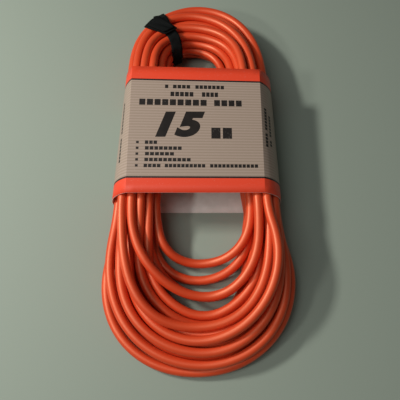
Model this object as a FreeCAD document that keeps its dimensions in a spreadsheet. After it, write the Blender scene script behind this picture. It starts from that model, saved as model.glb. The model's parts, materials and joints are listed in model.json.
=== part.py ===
import FreeCAD, Part
import math
import os
import re
import Sketcher

# Extension cord: 15.24 m of round three-core cord wound in a flat hank, with its moulded plug and
# connector lying in the hollow of the hank, a printed card sleeve round its waist and a black tie
# strap round one side of its top arch.
# Millimetres. +Z is up, the floor is Z = 0, +Y runs along the hank from its fanned loops to its
# neat top arch, and the origin is on the floor under the middle of the whole hank.

os.makedirs("parts", exist_ok=True)
doc = FreeCAD.newDocument("ExtensionCord")
Vector = FreeCAD.Vector

# Driving dimensions
SIZES = {
    # the cord and its three insulated conductors
    "cord_dia": 8.0,
    "core_dia": 2.7,
    "core_ring": 1.62,
    # the card sleeve, narrower and taller at its upper end
    "card": 0.5,
    "sleeve_x": -4.0,
    "sleeve_y": 23.0,
    "panel_width": 118.0,
    "sleeve_length": 124.0,
    "height_low": 50.0,
    "height_high": 54.0,
    "bulge_left_low": 15.0,
    "bulge_right_low": 17.0,
    "bulge_left_high": 9.0,
    "bulge_right_high": 13.5,
    "lap_width": 16.0,
    "lap_inset": 3.0,
    # how far the sleeve slides, and its room round the cord
    "slide_down": 4.0,
    "slide_up": 20.0,
    "slide_margin": 2.0,
    "side_gap": 1.0,
    "side_gap_right_low": 4.5,
    "top_gap": 2.0,
    "floor_gap": 0.3,
    # the hank, seen from above
    "hank_length": 369.0,
    "fan_width": 168.0,
    "side_left_low": 40.0,
    "side_left_high": 41.0,
    "side_right_low": 31.0,
    "side_right_high": 42.0,
    "arch_thickness": 53.0,
    "arch_height": 38.0,
    "fan_spread": 93.0,
    "fan_height": 25.0,
    "fan_radius": 89.5,
    # the tie strap, at its two angles round the arch
    "tie_outer_angle": 127.0,
    "tie_inner_angle": 145.0,
    "strap_width": 10.0,
    "strap_thickness": 1.0,
    "strap_gap": 0.3,
    "knot_width": 15.0,
    "knot_height": 4.0,
    # blades and pin of the plug, at the spacing of the standard grounded socket
    "blade_pitch": 12.7,
    "blade_width": 6.35,
    "blade_thickness": 1.52,
    "blade_reach": 17.5,
    "blade_tip": 1.6,
    "blade_hole_dia": 3.6,
    "blade_hole_reach": 11.7,
    "pin_dia": 4.75,
    "pin_reach": 20.6,
    "pin_spacing": 11.89,
    "collar_dia": 5.8,
    "collar_step": 0.6,
    "face_drop": 4.6,
    "crimp_dia": 3.6,
    "crimp_length": 5.0,
    # the plug
    "plug_x": -17.0,
    "plug_y": -1.0,
    "plug_width": 27.0,
    "plug_height": 25.4,
    "plug_flange": 5.0,
    "plug_waist": 19.0,
    "plug_length": 34.0,
    "bridge_depth": 8.0,
    # the connector
    "connector_x": 13.8,
    "connector_y": -12.0,
    "connector_width": 29.0,
    "connector_height": 27.0,
    "connector_flange": 9.0,
    "connector_waist": 28.0,
    "connector_length": 42.0,
    "core_depth": 17.0,
    "core_wall": 4.0,
    "line_slot": 7.2,
    "neutral_slot": 8.6,
    "slot_width": 2.3,
    "ground_hole_dia": 5.5,
    # brass contacts of the connector
    "contact_sheet": 0.6,
    "contact_depth": 12.0,
    "contact_grip": 1.3,
    "contact_room": 2.4,
    "ground_contact_bore": 4.9,
    "ground_contact_slit": 1.0,
    # what both mouldings share
    "corner_radius": 9.5,
    "waist_inset": 2.4,
    "heel_run": 5.0,
    "tail_dia": 14.6,
    "relief_length": 24.0,
    "relief_end_dia": 10.8,
    "relief_slot": 2.0,
    "relief_pitch": 4.2,
    "relief_web": 5.0,
    "mould_wall": 2.2,
    "chamber_dia": 19.8,
    "chamber_end_dia": 10.0,
    "fit_gap": 0.1,
    "wire_run": 10.0,
    "wire_straight": 2.2,
    # the leads, from the strain reliefs to the inner strands of the arch
    "lead_clear": 14.6,
    "lead_step": 28.0,
    "lead_tail": 25.0,
    "lead_rise": 5.0,
    "lead_sink": 4.3,
}

sheet = doc.addObject("Spreadsheet::Sheet", "Sizes")
for row, (alias, number) in enumerate(SIZES.items(), 1):
    sheet.set(f"A{row}", alias)
    sheet.set(f"B{row}", str(number))
    sheet.setAlias(f"B{row}", alias)
doc.recompute()


def formula(text):
    """Turn a sum of size names into an expression on the sheet."""
    named = lambda word: f"Sizes.{word[0]}" if word[0] in SIZES else word[0]
    return re.sub(r"[a-z][a-z_]+", named, str(text))


def value(text):
    """Read a sum of size names from the sheet."""
    return float(sheet.evalExpression(formula(text)))


def point(x, y, z="0"):
    return Vector(value(x), value(y), value(z))


# Sketch helpers
def new_body(name, x="0", y="0", z="0"):
    body = doc.addObject("PartDesign::Body", name)
    body.Label = name
    for axis, place in zip("xyz", (x, y, z)):
        body.setExpression(f"Placement.Base.{axis}", formula(place))
    return body


def new_sketch(body, name, role, offset="0"):
    """Put a sketch on one of the body's origin planes, moved along the plane's normal."""
    sketch = body.newObject("Sketcher::SketchObject", f"{body.Name}_{name}")
    plane = next(item for item in body.Origin.OriginFeatures if item.Role == role)
    sketch.AttachmentSupport = [(plane, "")]
    sketch.MapMode = "FlatFace"
    sketch.setExpression("AttachmentOffset.Base.z", formula(offset))
    return sketch


def constrain(sketch, kind, where, text):
    """Add a dimension that follows a sum of size names."""
    index = sketch.addConstraint(Sketcher.Constraint(kind, *where, value(text)))
    sketch.setExpression(f"Constraints[{index}]", formula(text))


def pin_point(sketch, where, x, y):
    """Hold a point of the sketch at a place given by two sums of size names."""
    for kind, axis, text in (("DistanceX", -2, x), ("DistanceY", -1, y)):
        amount = value(text)
        if abs(amount) < 1e-9:
            sketch.addConstraint(Sketcher.Constraint("PointOnObject", *where, axis))
        elif amount > 0:
            constrain(sketch, kind, (-1, 1, *where), text)
        else:
            constrain(sketch, kind, (*where, -1, 1), f"-({text})")


def add_circle(sketch, x, y, diameter):
    circle = sketch.addGeometry(Part.Circle(point(x, y), Vector(0, 0, 1), value(diameter) / 2))
    pin_point(sketch, (circle, 3), x, y)
    constrain(sketch, "Radius", (circle,), f"({diameter}) / 2")


def add_ellipse(sketch, half_width, half_height):
    """Draw an ellipse about the sketch's origin, wider than it is high."""
    ellipse = sketch.addGeometry(Part.Ellipse(Vector(0, 0, 0), value(half_width), value(half_height)))
    sketch.exposeInternalGeometry(ellipse)
    sketch.addConstraint(Sketcher.Constraint("Coincident", ellipse, 3, -1, 1))
    sketch.addConstraint(Sketcher.Constraint("Horizontal", ellipse + 1))
    constrain(sketch, "Distance", (ellipse + 1,), f"2 * ({half_width})")
    constrain(sketch, "Distance", (ellipse + 2,), f"2 * ({half_height})")


def add_outline(sketch, corners, arcs=None):
    """Draw a closed outline, anticlockwise. A side named in arcs is a round one of that radius."""
    arcs = arcs or {}
    places = [point(x, y) for x, y in corners]
    sides = []
    for number, start in enumerate(places):
        end = places[(number + 1) % len(places)]
        if number in arcs:
            chord = end - start
            radius = max(value(arcs[number]), chord.Length / 2)
            inward = Vector(-chord.y, chord.x, 0).normalize()
            centre = (start + end) * 0.5 + inward * math.sqrt(radius ** 2 - chord.Length ** 2 / 4)
            sides.append(sketch.addGeometry(Part.Arc(start, centre - inward * radius, end)))
            constrain(sketch, "Radius", (sides[-1],), arcs[number])
        else:
            sides.append(sketch.addGeometry(Part.LineSegment(start, end)))
    for number, side in enumerate(sides):
        following = sides[(number + 1) % len(sides)]
        sketch.addConstraint(Sketcher.Constraint("Coincident", side, 2, following, 1))
        pin_point(sketch, (side, 1), *corners[number])


def add_box(sketch, x_low, x_high, y_low, y_high):
    add_outline(sketch, [(x_low, y_low), (x_high, y_low), (x_high, y_high), (x_low, y_high)])


def add_round_box(sketch, width, height, radius):
    """Draw a rectangle with round corners about the sketch's origin."""
    side, top = f"({width}) / 2", f"({height}) / 2"
    inner_side, inner_top = f"({side} - ({radius}))", f"({top} - ({radius}))"
    corners = [
        (f"-{inner_side}", f"-({top})"),
        (inner_side, f"-({top})"),
        (side, f"-{inner_top}"),
        (side, inner_top),
        (inner_side, top),
        (f"-{inner_side}", top),
        (f"-({side})", inner_top),
        (f"-({side})", f"-{inner_top}"),
    ]
    add_outline(sketch, corners, {1: radius, 3: radius, 5: radius, 7: radius})


# Feature helpers
def pad(body, name, sketch, length, symmetric=False, backwards=False):
    feature = body.newObject("PartDesign::Pad", f"{body.Name}_{name}")
    feature.Profile = sketch
    feature.SideType = "Symmetric" if symmetric else "One side"
    feature.Reversed = backwards
    feature.setExpression("Length", formula(length))
    doc.recompute()
    return feature


def loft(body, kind, name, sections):
    feature = body.newObject(f"PartDesign::{kind}", f"{body.Name}_{name}")
    feature.Profile = sections[0]
    feature.Sections = sections[1:]
    doc.recompute()
    return feature


def turn(body, kind, name, sketch):
    """Turn a sketch about its own upright axis, to add material or to cut it away."""
    before = 0.0 if body.Shape.isNull() else body.Shape.Volume
    feature = body.newObject(f"PartDesign::{kind}", f"{body.Name}_{name}")
    feature.Profile = sketch
    feature.ReferenceAxis = (sketch, ["V_Axis"])
    doc.recompute()
    need_change(body, name, before)
    return feature


def pocket(body, name, sketch, length, symmetric=False):
    before = body.Shape.Volume
    feature = body.newObject("PartDesign::Pocket", f"{body.Name}_{name}")
    feature.Profile = sketch
    feature.SideType = "Symmetric" if symmetric else "One side"
    feature.setExpression("Length", formula(length))
    doc.recompute()
    need_change(body, name, before)
    return feature


def need_change(body, name, before):
    if abs(body.Shape.Volume - before) < 1e-3:
        raise RuntimeError(f"{body.Name}: {name} changed nothing")


# Plug and connector: the moulded outside
def moulding(name, end, core_width, core_height, seat_depth, wires_from):
    """Mould one end of the cord. From its face back it has a flange, a finger waist, a heel, and a
    tapered strain relief cut into rings that webs join crosswise by turns. Inside are the seat of
    its core piece, the space where the three conductors spread and the way of the cord."""
    width, height, length = f"{end}_width", f"{end}_height", f"{end}_length"
    body = new_body(name, f"{end}_x", f"{end}_y", f"card + floor_gap + {height} / 2")
    face = new_sketch(body, "face", "XZ_Plane")
    add_round_box(face, width, height, "corner_radius")
    pad(body, "flange", face, f"{end}_flange", backwards=True)
    waist = (f"{width} - 2 * waist_inset", f"{height} - 2 * waist_inset")
    heel = (f"{width} - 3 * waist_inset", f"{height} - 3 * waist_inset")
    stations = {
        f"{end}_flange": ((width, height), "corner_radius"),
        f"{end}_waist": (waist, "corner_radius - waist_inset / 2"),
        f"{length} - heel_run": (heel, "corner_radius - waist_inset"),
        length: (("tail_dia", "tail_dia"), "tail_dia * 0.46"),
    }
    sections = []
    for number, (place, (outline, radius)) in enumerate(stations.items()):
        sections.append(new_sketch(body, f"station_{number}", "XZ_Plane", f"-({place})"))
        add_round_box(sections[-1], *outline, radius)
    loft(body, "AdditiveLoft", "grip", sections)

    relief_end = f"{length} + relief_length"
    relief = new_sketch(body, "relief_profile", "XY_Plane")
    tail = "tail_dia / 2 - fit_gap"
    root = f"{length} - heel_run / 2"
    corners = [("0", root), (tail, root), (tail, length)]
    corners += [("relief_end_dia / 2", relief_end), ("0", relief_end)]
    add_outline(relief, corners)
    turn(body, "Revolution", "strain_relief", relief)

    seat = new_sketch(body, "seat", "XZ_Plane")
    seat_size = (f"{core_width} + 2 * fit_gap", f"{core_height} + 2 * fit_gap")
    add_round_box(seat, *seat_size, "corner_radius - mould_wall")
    pocket(body, "seat_cut", seat, seat_depth)

    chamber = new_sketch(body, "chamber_profile", "XY_Plane")
    straight_end = f"{wires_from} + wire_straight"
    chamber_end = f"{wires_from} + wire_run"
    corners = [("0", f"{seat_depth} - 1"), ("chamber_dia / 2", f"{seat_depth} - 1")]
    corners += [("chamber_dia / 2", straight_end), ("chamber_end_dia / 2", chamber_end)]
    corners.append(("0", chamber_end))
    add_outline(chamber, corners)
    turn(body, "Groove", "chamber", chamber)

    bore = new_sketch(body, "bore_profile", "XY_Plane")
    add_box(bore, "0", "cord_dia / 2 + fit_gap", f"{chamber_end} - 1", f"{relief_end} + 1")
    turn(body, "Groove", "cord_bore", bore)

    side_slots = new_sketch(body, "side_slots", "XY_Plane")
    low = f"{length} + relief_pitch"
    add_box(side_slots, "relief_web / 2", "tail_dia", low, f"{low} + relief_slot")
    add_box(side_slots, "-tail_dia", "-relief_web / 2", low, f"{low} + relief_slot")
    repeat(body, "side_slot", side_slots, "V_Axis")
    top_slots = new_sketch(body, "top_slots", "YZ_Plane")
    low = f"{length} + 2 * relief_pitch"
    add_box(top_slots, low, f"{low} + relief_slot", "relief_web / 2", "tail_dia")
    add_box(top_slots, low, f"{low} + relief_slot", "-tail_dia", "-relief_web / 2")
    repeat(body, "top_slot", top_slots, "H_Axis")
    return body


def repeat(body, name, sketch, axis):
    """Cut a pair of strain relief slots, and a second pair two pitches further on."""
    first = pocket(body, name, sketch, "2 * tail_dia", symmetric=True)
    before = body.Shape.Volume
    row = body.newObject("PartDesign::LinearPattern", f"{body.Name}_{name}_row")
    row.Originals = [first]
    row.Direction = (sketch, [axis])
    row.Mode = "Spacing"
    row.Occurrences = 2
    row.setExpression("Offset", formula("2 * relief_pitch"))
    body.Tip = row
    doc.recompute()
    need_change(body, f"{name}_row", before)


# Places shared by the pieces of the plug and of the connector, seen from the face
LEFT = "-blade_pitch / 2"
RIGHT = "blade_pitch / 2"
BLADE_Z = "-face_drop"
PIN_Z = "pin_spacing - face_drop"
BRIDGE = ("plug_width - 2 * mould_wall", "plug_height - 2 * mould_wall")
CORE = ("connector_width - 2 * mould_wall", "connector_height - 2 * mould_wall")
PLUG_PLACE = ("plug_x", "plug_y", "card + floor_gap + plug_height / 2")
CONNECTOR_PLACE = ("connector_x", "connector_y", "card + floor_gap + connector_height / 2")
PLUG_WIRES_FROM = "bridge_depth + crimp_length"
CONNECTOR_WIRES_FROM = "core_wall + contact_depth + crimp_length"


def add_crimp(body, x, z, start):
    """Add the barrel that grips the conductor's bare end."""
    ring = new_sketch(body, "crimp", "XZ_Plane", f"-({start})")
    add_circle(ring, x, z, "crimp_dia")
    pad(body, "barrel", ring, "crimp_length", backwards=True)


# Plug
def plug_bridge():
    """The rigid piece in the plug's face that holds its blades and pin."""
    body = new_body("plug_bridge", *PLUG_PLACE)
    outline = new_sketch(body, "outline", "XZ_Plane")
    add_round_box(outline, *BRIDGE, "corner_radius - mould_wall - fit_gap")
    pad(body, "block", outline, "bridge_depth", backwards=True)
    openings = new_sketch(body, "openings", "XZ_Plane")
    for x in (LEFT, RIGHT):
        half_width, half_height = "(blade_thickness / 2 + fit_gap)", "(blade_width / 2 + fit_gap)"
        add_box(openings, f"{x} - {half_width}", f"{x} + {half_width}",
                f"{BLADE_Z} - {half_height}", f"{BLADE_Z} + {half_height}")
    add_circle(openings, "0", PIN_Z, "collar_dia + 2 * fit_gap")
    pocket(body, "openings_cut", openings, "bridge_depth")
    return body


def plug_blade(name, x):
    """A flat blade with a chamfered tip, a round hole and a crimp barrel at its root."""
    body = new_body(name, *PLUG_PLACE)
    profile = new_sketch(body, "profile", "YZ_Plane", x)
    low, high = f"{BLADE_Z} - blade_width / 2", f"{BLADE_Z} + blade_width / 2"
    root = "bridge_depth"
    corners = [
        ("-blade_reach", f"{low} + blade_tip"),
        ("blade_tip - blade_reach", low),
        (root, low),
        (root, high),
        ("blade_tip - blade_reach", high),
        ("-blade_reach", f"{high} - blade_tip"),
    ]
    add_outline(profile, corners)
    add_circle(profile, "-blade_hole_reach", BLADE_Z, "blade_hole_dia")
    pad(body, "blade", profile, "blade_thickness", symmetric=True)
    add_crimp(body, x, BLADE_Z, "bridge_depth")
    return body


def plug_ground_pin():
    """The round earth pin: a turned profile with a domed tip, a collar and a crimp barrel."""
    x, y, z = PLUG_PLACE
    body = new_body("plug_ground_pin", x, y, f"{z} + {PIN_Z}")
    profile = new_sketch(body, "profile", "XY_Plane")
    corners = [
        ("0", "-pin_reach"),
        ("pin_dia / 2", "pin_dia / 2 - pin_reach"),
        ("pin_dia / 2", "-collar_step"),
        ("collar_dia / 2", "-collar_step"),
        ("collar_dia / 2", "bridge_depth"),
        ("crimp_dia / 2", "bridge_depth"),
        ("crimp_dia / 2", "bridge_depth + crimp_length"),
        ("0", "bridge_depth + crimp_length"),
    ]
    add_outline(profile, corners, {0: "pin_dia / 2"})
    turn(body, "Revolution", "turned", profile)
    return body


# Connector
def connector_core():
    """The rigid piece in the connector's face: two blade slots, a ground hole and, behind their
    front wall, the rooms of the three contacts, open to the back."""
    body = new_body("connector_core", *CONNECTOR_PLACE)
    outline = new_sketch(body, "outline", "XZ_Plane")
    add_round_box(outline, *CORE, "corner_radius - mould_wall - fit_gap")
    pad(body, "block", outline, "core_depth", backwards=True)
    mouths = new_sketch(body, "mouths", "XZ_Plane")
    for x, slot in ((LEFT, "line_slot"), (RIGHT, "neutral_slot")):
        add_box(mouths, f"{x} - slot_width / 2", f"{x} + slot_width / 2",
                f"{BLADE_Z} - {slot} / 2", f"{BLADE_Z} + {slot} / 2")
    add_circle(mouths, "0", PIN_Z, "ground_hole_dia")
    pocket(body, "mouths_cut", mouths, "core_depth")
    rooms = new_sketch(body, "rooms", "XZ_Plane", "-core_wall")
    half_width = "(contact_room / 2 + contact_sheet + fit_gap)"
    half_height = "(neutral_slot / 2 + fit_gap)"
    for x in (LEFT, RIGHT):
        add_box(rooms, f"{x} - {half_width}", f"{x} + {half_width}",
                f"{BLADE_Z} - {half_height}", f"{BLADE_Z} + {half_height}")
    add_circle(rooms, "0", PIN_Z, "ground_contact_bore + 2 * contact_sheet + 2 * fit_gap")
    pocket(body, "rooms_cut", rooms, "core_depth - core_wall")
    return body


def blade_contact(name, x, slot):
    """A folded brass contact: two sprung leaves that meet the blade at a narrow throat, open to a
    flared mouth in front and joined by a web behind, where the crimp barrel stands."""
    body = new_body(name, *CONNECTOR_PLACE)
    profile = new_sketch(body, "leaves", "XY_Plane", BLADE_Z)
    mouth = ("slot_width / 2", "core_wall")
    throat = ("contact_grip / 2", "core_wall + contact_depth * 0.4")
    belly = ("contact_room / 2", "core_wall + contact_depth * 0.7")
    back = ("contact_room / 2", "core_wall + contact_depth")
    right_side = [
        (f"{x} + {mouth[0]} + contact_sheet", mouth[1]),
        (f"{x} + {throat[0]} + contact_sheet", throat[1]),
        (f"{x} + {belly[0]} + contact_sheet", belly[1]),
        (f"{x} + {back[0]} + contact_sheet", back[1]),
    ]
    left_side = [
        (f"{x} - ({back[0]} + contact_sheet)", back[1]),
        (f"{x} - ({belly[0]} + contact_sheet)", belly[1]),
        (f"{x} - ({throat[0]} + contact_sheet)", throat[1]),
        (f"{x} - ({mouth[0]} + contact_sheet)", mouth[1]),
        (f"{x} - ({mouth[0]})", mouth[1]),
        (f"{x} - ({throat[0]})", throat[1]),
        (f"{x} - ({belly[0]})", belly[1]),
        (f"{x} - ({back[0]})", f"{back[1]} - contact_sheet"),
    ]
    inner_right = [
        (f"{x} + {back[0]}", f"{back[1]} - contact_sheet"),
        (f"{x} + {belly[0]}", belly[1]),
        (f"{x} + {throat[0]}", throat[1]),
        (f"{x} + {mouth[0]}", mouth[1]),
    ]
    add_outline(profile, right_side + left_side + inner_right)
    pad(body, "leaf_pair", profile, f"{slot}", symmetric=True)
    add_crimp(body, x, BLADE_Z, "core_wall + contact_depth")
    return body


def ground_contact():
    """A slit brass tube that grips the round pin, with a floor and a crimp barrel behind it."""
    x, y, z = CONNECTOR_PLACE
    body = new_body("connector_ground_contact", x, y, f"{z} + {PIN_Z}")
    profile = new_sketch(body, "profile", "XY_Plane")
    back = "core_wall + contact_depth"
    outside = "ground_contact_bore / 2 + contact_sheet"
    corners = [
        ("0", f"{back} - contact_sheet"),
        ("ground_contact_bore / 2", f"{back} - contact_sheet"),
        ("ground_contact_bore / 2", "core_wall"),
        (outside, "core_wall"),
        (outside, back),
        ("crimp_dia / 2", back),
        ("crimp_dia / 2", f"{back} + crimp_length"),
        ("0", f"{back} + crimp_length"),
    ]
    add_outline(profile, corners)
    turn(body, "Revolution", "tube", profile)
    slit = new_sketch(body, "slit", "XY_Plane")
    half_slit = "ground_contact_slit / 2"
    add_box(slit, f"-{half_slit}", half_slit, "core_wall", f"{back} - 2 * contact_sheet")
    before = body.Shape.Volume
    cut = body.newObject("PartDesign::Pocket", "connector_ground_contact_slit_cut")
    cut.Profile = slit
    cut.Reversed = True
    cut.setExpression("Length", formula("ground_contact_bore"))
    doc.recompute()
    need_change(body, "slit_cut", before)
    return body


# Card sleeve
def sleeve_side(height, bulge, inset):
    """The distance of a side's creases from the sleeve's middle, and the radius of its curve."""
    radius = f"((({height} / 2) ^ 2 + {bulge} ^ 2) / (2 * {bulge}))"
    sag = f"sqrt(({radius} - {inset}) ^ 2 - ({height} / 2 - {inset}) ^ 2)"
    return f"(panel_width / 2 + {bulge} - {radius} + {sag})", f"{radius} - {inset}"


def card_sleeve():
    """One sheet of card folded round the waist of the hank: a flat front and back between four
    creases, sides that the strands push out into curves, and a glued lap inside the back."""
    body = new_body("card_sleeve", "sleeve_x", "sleeve_y", "0")
    ends = {
        "low": ("sleeve_length / 2", "height_low", "bulge_left_low", "bulge_right_low"),
        "high": ("-sleeve_length / 2", "height_high", "bulge_left_high", "bulge_right_high"),
    }
    for kind, inset in (("AdditiveLoft", "0"), ("SubtractiveLoft", "card")):
        sections = []
        for end, (offset, height, left_bulge, right_bulge) in ends.items():
            section = new_sketch(body, f"{kind}_{end}", "XZ_Plane", offset)
            left, left_radius = sleeve_side(height, left_bulge, inset)
            right, right_radius = sleeve_side(height, right_bulge, inset)
            top = f"{height} - {inset}"
            corners = [(f"-{left}", inset), (right, inset), (right, top), (f"-{left}", top)]
            add_outline(section, corners, {1: right_radius, 3: left_radius})
            sections.append(section)
        loft(body, kind, "outside" if kind == "AdditiveLoft" else "inside", sections)
    lap = new_sketch(body, "lap", "XZ_Plane")
    add_box(lap, "card - panel_width / 2", "lap_width - panel_width / 2", "card / 2", "2 * card")
    pad(body, "glued_lap", lap, "sleeve_length - 2 * lap_inset", symmetric=True)
    return body


# Hank: its outer shape, as oval sections round the loop
STRAIGHT_LOW = "sleeve_y - sleeve_length / 2 - slide_down - slide_margin"
SLEEVE_LOW = "sleeve_y - sleeve_length / 2"
SLEEVE_HIGH = "sleeve_y + sleeve_length / 2"
STRAIGHT_HIGH = "sleeve_y + sleeve_length / 2 + slide_up + slide_margin"
BED = "2 * card + floor_gap"
TOP_LOW = "height_low - card - top_gap"
TOP_HIGH = "height_high - card - top_gap"
LEFT_LOW = "sleeve_x - panel_width / 2 - bulge_left_low + card + side_gap"
LEFT_HIGH = "sleeve_x - panel_width / 2 - bulge_left_high + card + side_gap"
RIGHT_LOW = "sleeve_x + panel_width / 2 + bulge_right_low - card - side_gap_right_low"
RIGHT_HIGH = "sleeve_x + panel_width / 2 + bulge_right_high - card - side_gap"
INNER_LEFT_LOW = f"{LEFT_LOW} + side_left_low"
INNER_LEFT_HIGH = f"{LEFT_HIGH} + side_left_high"
INNER_RIGHT_LOW = f"{RIGHT_LOW} - side_right_low"
INNER_RIGHT_HIGH = f"{RIGHT_HIGH} - side_right_high"
PLUG_STRAND = f"{INNER_LEFT_HIGH} - lead_sink"
CONNECTOR_STRAND = f"{INNER_RIGHT_HIGH} + lead_sink"
ARCH_OUTER = (f"(({LEFT_HIGH}) + ({RIGHT_HIGH})) / 2", f"(({RIGHT_HIGH}) - ({LEFT_HIGH})) / 2")
ARCH_INNER = (
    f"({INNER_LEFT_HIGH} + {INNER_RIGHT_HIGH}) / 2",
    f"({INNER_RIGHT_HIGH} - ({INNER_LEFT_HIGH})) / 2",
)


def arch_point(centre_and_half, rise, angle):
    """A point of one of the arch's two half ovals, at an angle in degrees from +X."""
    centre, half = centre_and_half
    return f"{centre} + {half} * cos({angle})", f"{STRAIGHT_HIGH} + ({rise}) * sin({angle})"


def arch_pair(outer_angle, inner_angle):
    outer = arch_point(ARCH_OUTER, f"hank_length / 2 - ({STRAIGHT_HIGH})", outer_angle)
    inner = arch_point(ARCH_INNER, f"hank_length / 2 - arch_thickness - ({STRAIGHT_HIGH})", inner_angle)
    return outer, inner


def arch_heights(outer_angle, bed):
    """Bottom and top of the arch: high at the sleeve and lower where the turns lie free."""
    return bed, f"({TOP_HIGH}) - ({TOP_HIGH} - arch_height) * sin({outer_angle}) ^ 2"


def oval(outer, inner, heights):
    """A closed oval wire, upright, from an outer to an inner point of the hank's outline."""
    outer_point, inner_point = point(*outer), point(*inner)
    low, high = value(heights[0]), value(heights[1])
    across = (outer_point - inner_point) * 0.5
    middle = (outer_point + inner_point) * 0.5 + Vector(0, 0, (low + high) / 2)
    normal = Vector(0, 0, 1).cross(across).normalize()
    up = (high - low) / 2
    stretch = FreeCAD.Matrix(
        across.x, 0, normal.x, middle.x,
        across.y, 0, normal.y, middle.y,
        0, up, 0, middle.z,
        0, 0, 0, 1,
    )
    return Part.Wire([Part.makeCircle(1).transformGeometry(stretch)])


def solid_through(sections, ruled=False):
    return Part.makeLoft(sections, True, ruled)


def side_sections(outer_low, outer_high, inner_low, inner_high):
    """One straight side, in the sleeve: the ends of the slide's stretch and of the sleeve."""
    low, high = (BED, TOP_LOW), (BED, TOP_HIGH)
    places = [
        (STRAIGHT_LOW, outer_low, inner_low, low),
        (SLEEVE_LOW, outer_low, inner_low, low),
        (SLEEVE_HIGH, outer_high, inner_high, high),
        (STRAIGHT_HIGH, outer_high, inner_high, high),
    ]
    return [oval((outer, y), (inner, y), heights) for y, outer, inner, heights in places]


def fan_sections():
    """The fan of loops below the sleeve, wide and thin at its lower end."""
    middle = f"({INNER_LEFT_LOW} + {INNER_RIGHT_LOW}) / 2"
    half = f"({INNER_RIGHT_LOW} - ({INNER_LEFT_LOW})) / 2"
    centre_y = "fan_radius - hank_length / 2"
    inner_drop = f"({STRAIGHT_LOW} + hank_length / 2 - fan_spread)"
    sections = []
    for angle, inner_angle in FAN_ANGLES:
        outer = (f"fan_width / 2 * cos({angle})", f"{centre_y} - fan_radius * sin({angle})")
        inner_y = f"{STRAIGHT_LOW} - {inner_drop} * sin({inner_angle})"
        inner = (f"{middle} + {half} * cos({inner_angle})", inner_y)
        top = f"{TOP_LOW} - ({TOP_LOW} - fan_height) * sin({inner_angle})"
        sections.append(oval(outer, inner, (f"({BED}) * cos({inner_angle}) ^ 2 / 2", top)))
    return sections


# angles of the outer and inner points of each section, in degrees
FAN_ANGLES = [(180, 155), (155, 140), (134, 126), (112, 109), (90, 90)]
FAN_ANGLES += [(68, 71), (46, 54), (25, 40), (0, 25)]
TIE_BED = "strap_thickness + strap_gap + floor_gap"
ARCH_STATIONS = [(152, 160, BED), ("tie_outer_angle", "tie_inner_angle", TIE_BED)]
ARCH_STATIONS += [(98, 108, "0"), (68, 66, "0"), (34, 30, "0")]


def cord_hank():
    """All the turns of the hank as one closed solid of their outer shape, round its opening."""
    left = side_sections(LEFT_LOW, LEFT_HIGH, INNER_LEFT_LOW, INNER_LEFT_HIGH)
    right = side_sections(RIGHT_LOW, RIGHT_HIGH, INNER_RIGHT_LOW, INNER_RIGHT_HIGH)
    arch = [left[-1]]
    for outer, inner, bed in ARCH_STATIONS:
        arch.append(oval(*arch_pair(outer, inner), arch_heights(outer, bed)))
    arch.append(right[-1])
    fan = [left[0], *fan_sections(), right[0]]
    parts = [solid_through(left, ruled=True), solid_through(right, ruled=True)]
    parts += [solid_through(arch), solid_through(fan)]
    shape = parts[0].fuse(parts[1:])
    return add_feature("cord_hank", shape.Solids[0] if len(shape.Solids) == 1 else shape)


def add_feature(name, shape, place=None):
    feature = doc.addObject("Part::Feature", name)
    feature.Label = name
    feature.Shape = shape
    feature.Placement = FreeCAD.Placement(place or Vector(0, 0, 0), FreeCAD.Rotation())
    return feature


# Leads and conductors
def tube(name, route, diameter, place=None):
    """A round tube along straight runs joined by tangent arcs, as large as the runs allow."""
    corners = [point(*step) for step in route]
    runs = [b - a for a, b in zip(corners, corners[1:])]
    edges, radii = [], []
    start = corners[0]
    for before, after, corner in zip(runs, runs[1:], corners[1:]):
        half_turn = before.getAngle(after) / 2
        reach = 0.45 * min(before.Length, after.Length)
        radii.append(reach / math.tan(half_turn))
        into, out = Vector(before).normalize(), Vector(after).normalize()
        first, last = corner - into * reach, corner + out * reach
        inward = (out - into).normalize()
        middle = corner + inward * (radii[-1] / math.cos(half_turn) - radii[-1])
        edges += [Part.LineSegment(start, first).toShape(), Part.Arc(first, middle, last).toShape()]
        start = last
    edges.append(Part.LineSegment(start, corners[-1]).toShape())
    path = Part.Wire(edges)
    ring = Part.Wire([Part.makeCircle(value(diameter) / 2, corners[0], runs[0])])
    shape = path.makePipeShell([ring], True, False)
    expected = math.pi * value(diameter) ** 2 / 4 * path.Length
    print(f"{name}: {path.Length:.1f} mm, bends of {', '.join(f'{radius:.1f}' for radius in radii)} mm,"
          f" volume {shape.Volume / expected:.4f} of section times length")
    return add_feature(name, shape, place)


def lead(name, end, place, wires_from, strand):
    """The uncoiled stretch from inside the moulding to the inner strand of the arch."""
    shift = f"{strand} - {end}_x"
    first_bend = f"{end}_length + relief_length + lead_clear"
    route = [
        ("0", f"{wires_from} + wire_run", "0"),
        ("0", first_bend, "0"),
        (shift, f"{first_bend} + lead_step", "lead_rise"),
        (shift, f"{first_bend} + lead_step + lead_tail", "lead_rise"),
    ]
    return tube(name, route, "cord_dia", point(*place))


def conductors(end, place, wires_from):
    """The three insulated conductors, from the crimps to the end of the cord's jacket."""
    line_x, neutral_x = (RIGHT, LEFT) if end == "plug" else (LEFT, RIGHT)
    line_angle, neutral_angle = (-30, 210) if end == "plug" else (210, -30)
    made = []
    for name, x, z, angle in (
        ("line", line_x, BLADE_Z, line_angle),
        ("neutral", neutral_x, BLADE_Z, neutral_angle),
        ("ground", "0", PIN_Z, 90),
    ):
        end_x, end_z = f"core_ring * cos({angle})", f"core_ring * sin({angle})"
        route = [
            (x, wires_from, z),
            (x, f"{wires_from} + wire_straight", z),
            (end_x, f"{wires_from} + wire_run - wire_straight", end_z),
            (end_x, f"{wires_from} + wire_run", end_z),
        ]
        made.append(tube(f"{end}_{name}_wire", route, "core_dia", point(*place)))
    return made


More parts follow.
